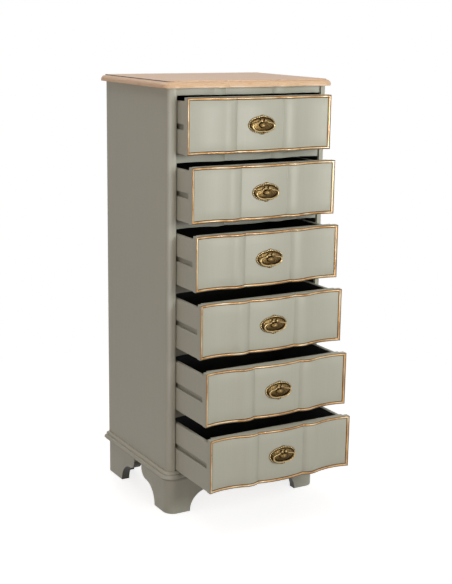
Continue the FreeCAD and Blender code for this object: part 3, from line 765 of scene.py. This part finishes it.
def drawerSide():
    # A board whose upper edges are rounded, with a groove for the runner that stops short of the
    # front; its section, from the lower outer edge up and over, is carried along the depth
    size = boxSize
    low, thick, r, ease = size["lift"], size["thickness"], size["round"], size["ease"]
    top = low + size["height"]
    turn = np.linspace(0, pi / 2, 5)
    grooveLow, grooveHigh = size["grooveLow"], size["grooveHigh"]
    ring = np.concatenate([
        [(ease, low), (0, low + ease)],
        [(0, grooveLow), (1, grooveLow), (1, grooveHigh), (0, grooveHigh)],
        np.stack([r - r * np.cos(turn), top - r + r * np.sin(turn)], -1),
        np.stack([thick - r + r * np.sin(turn), top - r + r * np.cos(turn)], -1),
        [(thick, low + ease), (thick - ease, low)],
    ])
    mouth, end = size["grooveFront"], size["end"]
    stations = np.array([size["start"], mouth, mouth, end - size["endStrip"], end])
    depths = size["grooveDepth"] * np.array([0, 0, 1, 1, 1])
    grid = np.empty((len(stations), len(ring), 3))
    grid[..., 0] = ring[:, 0] - size["outer"]
    grid[..., 1] = stations[:, None]
    grid[..., 2] = ring[:, 1]
    grid[:, 3:5, 0] = depths[:, None] - size["outer"]
    marks = np.zeros(len(ring), int)
    marks[-4:-1] = 1  # black inside
    darkening = np.zeros(grid.shape[:2])
    # Painted shade on the floor of the groove
    darkening[2:, 3:5] = size["groovePaintedShade"]
    marks = np.tile(marks, len(stations) - 1)
    return sheetShell(grid, wrapColumns=True, capped=True, finish=marks, patinaAndShade=darkening)


def drawerBox():
    # Two sides and a back board between them, the back's inner face and edge black
    size = boxSize
    inner, end = size["outer"] - size["thickness"], size["end"]
    side = drawerSide()
    low = (-inner, end - size["backThickness"], size["backLow"])
    back = easedBoard(low, (inner, end, size["backHigh"]), size["backEase"])
    back["marks"][-2] = 1
    back["marks"][:16] = 1
    return [side, moved(side, mirror=True), back]


plateSize = {
    "halfWidth": 42.5, "halfHeight": 23.9, "bend": 290, "samples": 504,
    "rim": 4.6, "rimStart": 0.15, "rimRings": 9, "rimLevel": 1.0,
    "beads": 36, "beadRise": 3.1, "beadCut": 0.85, "beadDark": 0.7, "gapDark": 1.3, "shadeBelow": 0.22,
    "scallop": 1.0, "finial": 2.1, "finialTurn": 0.11, "finialRise": 0.7,
    # Rings of the edge and the channel: inset, height, share of the beads in that height, patina
    "edge": ((0.9, 0.0, 0, 0.95), (0.0, 0.6, 0, 0.9)),
    "channel": ((5.0, 1.2, 0, 0.8), (5.8, 1.0, 0, 0.88), (6.8, 1.0, 0, 0.88), (7.6, 1.2, 0, 0.75)),
    "domeRings": 22, "domeLevel": 1.2, "dome": 2.2, "stipple": 0.2, "stippleRows": 5,
    # Patina and painted shade of the dome: its level, and what its middle, the stipple and its upper
    # part take off; the upper part's share is painted shade, lighter above and darker below
    "domeDark": (0.64, 0.08, 0.14, 0.09),
    "bossWide": 12.6, "bossTall": 8.2, "bossDown": 0.8, "petals": 10, "petalDark": 0.35,
    # Rings of the boss: share of its width, height, depth of the petals, patina
    "boss": (
        (0.96, 3.4, 0.2, 0.85), (0.92, 5.0, 0.6, 0.7), (0.82, 7.6, 0.8, 0.55), (0.68, 9.4, 0.7, 0.45),
        (0.54, 10.2, 0.5, 0.42), (0.42, 10.5, 0.2, 0.5), (0.34, 10.4, 0, 0.6), (0.26, 10.8, 0, 0.48),
        (0.13, 11.2, 0, 0.36), (0.0, 11.3, 0, 0.3),
    ),
}


def pullPlate():
    # Rings run in from the edge: a row of beads, a dark channel, a low stippled dome, and an oval
    # boss cut with petals; the whole bends to the bowed front
    size = plateSize
    fine = np.linspace(0, 2 * pi, 4001)
    step = np.hypot(size["halfWidth"] * np.sin(fine), size["halfHeight"] * np.cos(fine))
    run = np.concatenate([[0], np.cumsum((step[1:] + step[:-1]) / 2)])
    share = np.arange(size["samples"]) / size["samples"]
    angle = np.interp(share * run[-1], run, fine)
    wave = np.cos(pi * size["beads"] * share)
    gap = 1 - np.abs(wave) ** 0.55  # 0 on a bead's crest, 1 between two beads

    # The beaded rim and the channel, with a finial above and below
    rim = np.linspace(size["rimStart"], size["rim"], size["rimRings"])
    arch = np.sin(pi * np.linspace(0.04, 0.96, size["rimRings"])) ** 0.7
    beads = np.stack([
        rim, size["rimLevel"] + size["beadRise"] * arch, size["beadCut"] * arch,
        size["beadDark"] - size["beadDark"] * arch,
    ], -1)
    rings = np.concatenate([size["edge"], beads, size["channel"]])
    inset, rise, beadShare, darkening = rings.T[:, :, None]
    wide, tall = size["halfWidth"] - inset, size["halfHeight"] - inset
    near = np.exp(-((1 - np.abs(np.sin(angle))) / size["finialTurn"] ** 2) ** 2)
    outside = np.clip(1 - inset / (size["rim"] + 0.5), 0, 1)
    tall = tall + size["finial"] * near * outside
    height = rise - beadShare * size["beadRise"] * gap
    height = height + size["finialRise"] * near * (beadShare > 0)
    dark = darkening + size["gapDark"] * beadShare * gap
    # Painted shade: the rim and channel grow darker towards the bottom
    dark = dark + size["shadeBelow"] * np.clip(-np.sin(angle), 0, 1)
    scallop = size["scallop"] * gap * outside * (1 - near)

    # The dome with its stipple
    blend = np.linspace(0, 1, size["domeRings"])[1:, None]
    domeWide = (1 - blend) * wide[-1] + blend * size["bossWide"]
    domeTall = (1 - blend) * tall[-1] + blend * size["bossTall"]
    stipple = wave * np.cos(pi * size["stippleRows"] * blend) * (1 - blend ** 4)
    domeHeight = size["domeLevel"] + size["dome"] * np.sin(pi / 2 * blend) + size["stipple"] * stipple
    level, middle, dots, upper = size["domeDark"]
    # Painted shade: the dome is lighter above and darker below
    domeDark = level - middle * np.sin(pi * blend) - dots * stipple - upper * np.sin(angle)

    # The boss
    bossShare, bossRise, cut, bossDark = np.array(size["boss"]).T[:, :, None]
    petal = 0.5 - 0.5 * np.cos(size["petals"] * angle)
    every = 0 * angle
    allWide = np.concatenate([wide - scallop, domeWide + every, bossShare * size["bossWide"] + every])
    allTall = np.concatenate([tall - scallop, domeTall + every, bossShare * size["bossTall"] + every])
    allHeight = np.concatenate([height + every, domeHeight + every, bossRise - cut * petal])
    allDark = np.concatenate([dark, domeDark, bossDark + size["petalDark"] * cut * petal])
    down = size["bossDown"] * np.concatenate([0 * wide, blend, 1 + 0 * bossShare])
    x, z = allWide * np.cos(angle), allTall * np.sin(angle) - down
    y = x ** 2 / (2 * size["bend"]) - allHeight
    return sheetShell(np.stack([x, y, z], -1), wrapColumns=True, capped=True, patinaAndShade=allDark)


postSize = {
    "spacing": 12.2, "reach": 7.8, "ball": 3.5, "ballStart": -1.05, "down": 1.0, "sides": 28,
    "ring": 0.35, "ringAt": 0.95, "ringWidth": 0.1, "dark": 0.18, "ringDark": 1.6, "shadeBelow": 0.5,
    # Collar and neck: radius, height, patina
    "neck": (
        (0, 0.9, 1), (4.2, 0.9, 0.95), (4.5, 1.5, 0.8), (4.0, 2.2, 0.8), (2.8, 2.7, 0.95),
        (2.2, 3.4, 0.95), (2.0, 4.4, 0.8),
    ),
}


def atPosts(shell, way):
    # A shell turned about Z, laid along the front's depth, once for each post
    x, y, z = shell["points"].T
    laid = {**shell, "points": np.stack([x, way * z, y], -1)}
    return [moved(laid, (side * postSize["spacing"] / 2, 0, 0)) for side in (-1, 1)]


def pullPosts():
    # A collar on the plate, a waisted neck, and a ball with a ring cut round its crown
    size = postSize
    ball = np.linspace(size["ballStart"], pi / 2, 16)
    cut = size["ring"] * np.exp(-((ball - size["ringAt"]) / size["ringWidth"]) ** 2)
    girth = size["ball"] - cut
    # Painted shade under the ball
    dark = size["dark"] + size["ringDark"] * cut + size["shadeBelow"] * np.clip(-ball, 0, 1)
    crown = np.stack([girth * np.cos(ball), size["reach"] + girth * np.sin(ball), dark], -1)
    radius, height, darkening = np.concatenate([size["neck"], crown]).T
    radius[-1] = 0
    shells = atPosts(turnedShell(radius, height, size["sides"], darkening), -1)
    return [moved(shell, (0, 0, -size["down"])) for shell in shells]


bailSize = {
    "reach": 8.5, "halfWidth": 33.4, "drop": 30, "widest": 15, "armDrop": 5.6, "armTurn": 0.38,
    "upperPower": 0.75, "lowerPower": 0.9,
    "hook": ((5.0, 0), (8.8, 0), (10.6, -1.0), (11.8, -3.2), (13.2, -5.0)),
    "thin": 1.5, "thick": 2.2, "swell": 1.2, "flatten": 0.92, "stations": 151, "sides": 16,
    "dip": 1.2, "dipWidth": 5.0, "dipThin": 0.3,
    "dark": 0.68, "rubbed": 0.45, "hookShade": 0.25, "hookAt": 10, "hookWidth": 2,
}


def pullBail():
    # A tube: from each pin a hook drops to a flat arm, which turns into a squared upper and a rounder
    # lower curve; the tube swells towards the bottom and dips at the middle of its lower edge
    size = bailSize
    half, drop, widest = size["halfWidth"], size["drop"], size["widest"]
    turn = np.linspace(size["armTurn"], pi / 2, 30)
    upperX = half * np.sin(turn) ** size["upperPower"]
    upperZ = (widest - size["armDrop"]) * np.cos(turn) ** size["upperPower"] - widest
    turn = np.linspace(pi / 2, 0, 40)[1:]
    lowerX = half * np.sin(turn) ** size["lowerPower"]
    lowerZ = (widest - drop) * np.cos(turn) ** size["lowerPower"] - widest
    hookX, hookZ = np.array(size["hook"]).T
    x, z = np.concatenate([hookX, upperX, lowerX]), np.concatenate([hookZ, upperZ, lowerZ])
    x, z = np.concatenate([x, -x[-2::-1]]), np.concatenate([z, z[-2::-1]])

    # Even stations along the line, smoothed three times
    run = np.concatenate([[0], np.cumsum(np.hypot(np.diff(x), np.diff(z)))])
    even = np.linspace(0, run[-1], size["stations"])
    line = np.stack([np.interp(even, run, x), np.interp(even, run, z)])
    for _ in range(3):
        line[:, 1:-1] = (line[:, 2:] + 2 * line[:, 1:-1] + line[:, :-2]) / 4
    x, z = line
    below = np.clip(-z / drop, 0, 1)
    dip = np.exp(-(x / size["dipWidth"]) ** 2) * (below > 0.5)
    z = z + size["dip"] * dip

    # A ring of points round each station
    tangent = np.stack([np.gradient(x), np.gradient(z)], -1)
    tangent /= np.linalg.norm(tangent, axis=1, keepdims=True)
    angle = np.linspace(0, 2 * pi, size["sides"], endpoint=False)
    thick = size["thin"] + (size["thick"] - size["thin"]) * below ** size["swell"]
    thick = (thick - size["dipThin"] * dip)[:, None]
    outward = thick * np.cos(angle)
    grid = np.stack([
        x[:, None] - outward * tangent[:, 1:], -size["flatten"] * thick * np.sin(angle),
        z[:, None] + outward * tangent[:, :1],
    ], -1)
    # Painted shade at the hooks, beside the posts
    hook = np.exp(-((np.abs(x) - size["hookAt"]) / size["hookWidth"]) ** 2) * (below < 0.2)
    facing = 0.5 + 0.5 * np.sin(angle)
    darkening = size["dark"] - size["rubbed"] * facing + size["hookShade"] * hook[:, None]
    return sheetShell(grid, wrapColumns=True, capped=True, patinaAndShade=darkening)


nutSize = {
    "across": 8, "dark": 0.35, "washerSides": 28, "stubSides": 18,
    # Washer and screw end: radius, height, patina
    "washer": ((0, 0, 0.5), (6, 0, 0.6), (6, 0.7, 0.4), (5.4, 1.0, 0.3), (0, 1.0, 0.3)),
    "stub": ((0, 1.0, 0.5), (1.9, 1.0, 0.5), (1.9, 5.6, 0.5), (1.5, 6.2, 0.5), (0, 6.2, 0.5)),
    # Nut: share of its width, height
    "nut": ((1, 1.0), (1, 3.9), (0.9, 4.4), (0.0, 4.4)),
}


def pullNuts():
    # Behind the front each post ends in a washer, a six-sided nut and the end of its screw
    size = nutSize
    radius, height, darkening = np.array(size["washer"]).T
    washer = turnedShell(radius, height, size["washerSides"], darkening)
    radius, height, darkening = np.array(size["stub"]).T
    stub = turnedShell(radius, height, size["stubSides"], darkening)
    angle = np.linspace(0, 2 * pi, 6, endpoint=False)
    share, level = np.array(size["nut"]).T[:, :, None]
    corner = size["across"] / 2 / math.cos(pi / 6) * share
    grid = np.stack(np.broadcast_arrays(corner * np.cos(angle), corner * np.sin(angle), level), -1)
    nut = sheetShell(grid, wrapColumns=True, capped=True, patinaAndShade=size["dark"])
    return atPosts(washer, 1) + atPosts(nut, 1) + atPosts(stub, 1)


pullSize = {"level": 74, "rise": 12, "crown": -4.2, "gap": 0.05}
board, inner, bead, boxes = frontBoard(), frontInner(), frontBead(), drawerBox()
plate, posts, bail, nuts = pullPlate(), pullPosts(), pullBail(), pullNuts()
for number in range(1, drawerCount + 1):
    low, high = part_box(f"drawer_{number}_front")
    endPlane, floorLevel = high.y / mm - frontSize["thickness"], low.z / mm
    seat = endPlane + pullSize["crown"] + frontSize["sink"] - pullSize["gap"]
    inside = endPlane + frontSize["thickness"] + frontSize["innerDepth"] + pullSize["gap"]
    middle = floorLevel + pullSize["level"]
    pivot = middle + pullSize["rise"]
    body = f"drawer_{number}"
    here, wood = (0, endPlane, floorLevel), [paint, blackStainAndShade]
    # Each piece: its name, body, shells, place, materials, slot, and the CAD node that it replaces
    for title, rider, shells, place, finish, slot, node in (
        ("drawerFront", body, [board, inner], here, wood, "painted_wood", "front"),
        ("drawerBead", body, [bead], here, [gilt], "gilt", None),
        ("drawerBox", body, boxes, here, wood, "painted_wood", "box"),
        ("pullPlate", body, [plate], (0, seat, middle), [brass], "brass", "pull_plate"),
        ("pullPosts", body, posts, (0, seat, pivot), [brass], "brass", "pull_posts"),
        ("pullBail", f"bail_{number}", [bail], (0, seat - bailSize["reach"], pivot), [brass], "brass",
         "pull_bail"),
        ("pullNuts", body, nuts, (0, inside, pivot), [brass], "brass", None),
    ):
        addPiece(
            f"{title}{number}", rider, [moved(shell, place) for shell in shells], finish,
            [f"{body}_{node}"] if node else (),
        )
print("drawers and pulls made")


# CAD nodes that show as they are
plainFinish = {
    "back_panel": softwood, "bottom_board": softwood, "base_rear": softwood, "drawer_runners": blackStainAndShade,
    **{f"drawer_{number}_bottom": blackStainAndShade for number in range(1, drawerCount + 1)},
}
for name, material in plainFinish.items():
    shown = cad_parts[name]
    shown.data.materials.clear()
    shown.data.materials.append(material)


# Floor, light and camera. Lengths here are in metres.
studio = {
    "floorSize": 16.0, "clear": 0.7, "faded": 1.6, "paper": "#b4b4b3", "paperRoughness": 0.9,
    "floorGlow": 0.8, "fill": 0.265, "fillColour": "#ffede5",
}
# Lamps light matt and glossy surfaces alike unless one of the two is set to False. The key stays out
# of reflections, where it would whiten the top from behind, and the glint stands in for it lower down.
lamps = {
    "key": {"place": (0.4, -2.4, 1.5), "aim": (0.0, 0.0, 1.75), "size": 0.9, "power": 34.2,
            "colour": "#fbffff", "gloss": False},
    "glint": {"place": (0.4, -2.4, 0.88), "aim": (0.0, 0.0, 2.3), "size": 0.62, "power": 21,
              "colour": "#fbffff", "matt": False, "spread": 112},
    "side": {"place": (-2.4, -2.0, 0.7), "aim": (-0.2, 0.0, 0.4), "size": 1.0, "power": 6,
             "colour": "#ffe6da"},
    "sheen": {"place": (-2.3, -1.3, 0.5), "aim": (-0.25, -0.1, 0.6), "size": 0.9, "power": 40,
              "colour": "#ffffff", "matt": False},
    "sheenBack": {"place": (-1.0, 1.4, 3.0), "aim": (-0.25, 0.0, 0.6), "size": 1.0, "power": 30,
                  "colour": "#ffffff", "matt": False},
    "rear": {"place": (0.6, 2.8, 0.75), "aim": (0.0, 0.3, 0.6), "size": 0.8, "power": 22,
             "colour": "#ffffff"},
    "top": {"place": (-0.9, -0.2, 2.9), "aim": (0.0, 0.0, 0.9), "size": 1.2, "power": 9,
            "colour": "#fffaf6"},
}


def seenBy(tree, *rays):
    # 1 for any of these kinds of ray, 0 for the rest
    seen = 0.0
    for ray in rays:
        one = addNode(tree, "LightPath", {}, ray)
        seen = addNode(tree, "Math", {0: seen, 1: one}, operation="MAXIMUM")
    return seen


def makeFloor():
    # White paper that fades into the white surround away from the object
    half = studio["floorSize"] / 2
    mesh = bpy.data.meshes.new("studioFloor")
    corners = [(-half, -half, 0), (half, -half, 0), (half, half, 0), (-half, half, 0)]
    mesh.from_pydata(corners, [], [(0, 1, 2, 3)])
    floor = bpy.data.objects.new("studioFloor", mesh)
    bpy.context.scene.collection.objects.link(floor)
    material, tree, shader, _ = newMaterial("whitePaper")
    paper = {"Base Color": linear(studio["paper"]), "Roughness": studio["paperRoughness"]}
    feed(tree, shader, paper)
    place = addNode(tree, "TexCoord", {}, "Object")
    distance = addNode(tree, "VectorMath", {0: place}, "Value", operation="LENGTH")
    limits = {"Value": distance, "From Min": studio["clear"], "From Max": studio["faded"]}
    fade = addNode(tree, "MapRange", limits)
    seen = seenBy(tree, "Is Camera Ray", "Is Glossy Ray")
    share = addNode(tree, "Math", {0: fade, 1: seen}, operation="MULTIPLY")
    white = addNode(tree, "Emission", {"Strength": 1.0})
    soft = addNode(tree, "Math", {0: seen, 1: studio["floorGlow"]}, operation="MULTIPLY")
    glow = addNode(tree, "Emission", {"Strength": soft})
    lit = addNode(tree, "AddShader", {0: shader.outputs[0], 1: glow})
    mixed = addNode(tree, "MixShader", {0: share, 1: lit, 2: white})
    feed(tree, tree.nodes["Material Output"], {"Surface": mixed})
    mesh.materials.append(material)


def makeWorld():
    # White to the eye and in reflections, a soft warm fill for everything else
    world = bpy.data.worlds.new("studioSurround")
    world.use_nodes = True
    bpy.context.scene.world = world
    tree = world.node_tree
    seen = seenBy(tree, "Is Camera Ray", "Is Glossy Ray", "Is Transmission Ray")
    warm = {"Color": linear(studio["fillColour"]), "Strength": studio["fill"]}
    fill = addNode(tree, "Background", warm)
    white = addNode(tree, "Background", {"Color": (1, 1, 1, 1), "Strength": 1.0})
    mixed = addNode(tree, "MixShader", {0: seen, 1: fill, 2: white})
    feed(tree, tree.nodes["World Output"], {"Surface": mixed})


def makeLamp(name, spec):
    # A square lamp at its place, turned to its aim
    lamp = bpy.data.lights.new(name, "AREA")
    lamp.size = spec["size"]
    lamp.spread = math.radians(spec.get("spread", 180))
    lamp.energy = spec["power"]
    lamp.color = linear(spec["colour"])[:3]
    holder = bpy.data.objects.new(name, lamp)
    place, aim = np.array(spec["place"]), np.array(spec["aim"])
    back = (place - aim) / np.linalg.norm(place - aim)
    right = np.cross((0, 0, 1), back)
    right /= np.linalg.norm(right)
    turn = np.eye(4)
    turn[:3, :3] = np.stack([right, np.cross(back, right), back], -1)
    turn[:3, 3] = place
    holder.matrix_world = Matrix(turn.tolist())
    holder.visible_camera = False
    holder.visible_diffuse = spec.get("matt", True)
    holder.visible_glossy = spec.get("gloss", True)
    bpy.context.scene.collection.objects.link(holder)


# The photo's view: place in metres from the front plane of the posts, angles in degrees, and focal
# length in pixels of a picture this tall
view = {
    "place": (-1.66902, -2.75449, 1.36015), "yaw": 30.14, "pitch": 12.99, "roll": -0.83,
    "focal": 1187.405, "tall": 584, "sensor": 36,
}


def makeCamera():
    # Tilted down from level, turned about the upright, then rolled
    lens = bpy.data.cameras.new("photoView")
    lens.sensor_width = view["sensor"]
    lens.lens = view["focal"] / view["tall"] * view["sensor"]
    camera = bpy.data.objects.new("photoView", lens)
    turn = Matrix.Rotation(math.radians(-view["yaw"]), 4, "Z")
    turn = turn @ Matrix.Rotation(math.radians(90 - view["pitch"]), 4, "X")
    turn = turn @ Matrix.Rotation(math.radians(-view["roll"]), 4, "Z")
    x, y, z = view["place"]
    camera.matrix_world = Matrix.Translation((x, y + caseY * mm, z)) @ turn
    bpy.context.scene.collection.objects.link(camera)
    bpy.context.scene.camera = camera


makeFloor()
makeWorld()
for lampName, spec in lamps.items():
    makeLamp(lampName + "Lamp", spec)
makeCamera()
bpy.context.scene.view_settings.view_transform = "Standard"
print("floor, light and camera made")
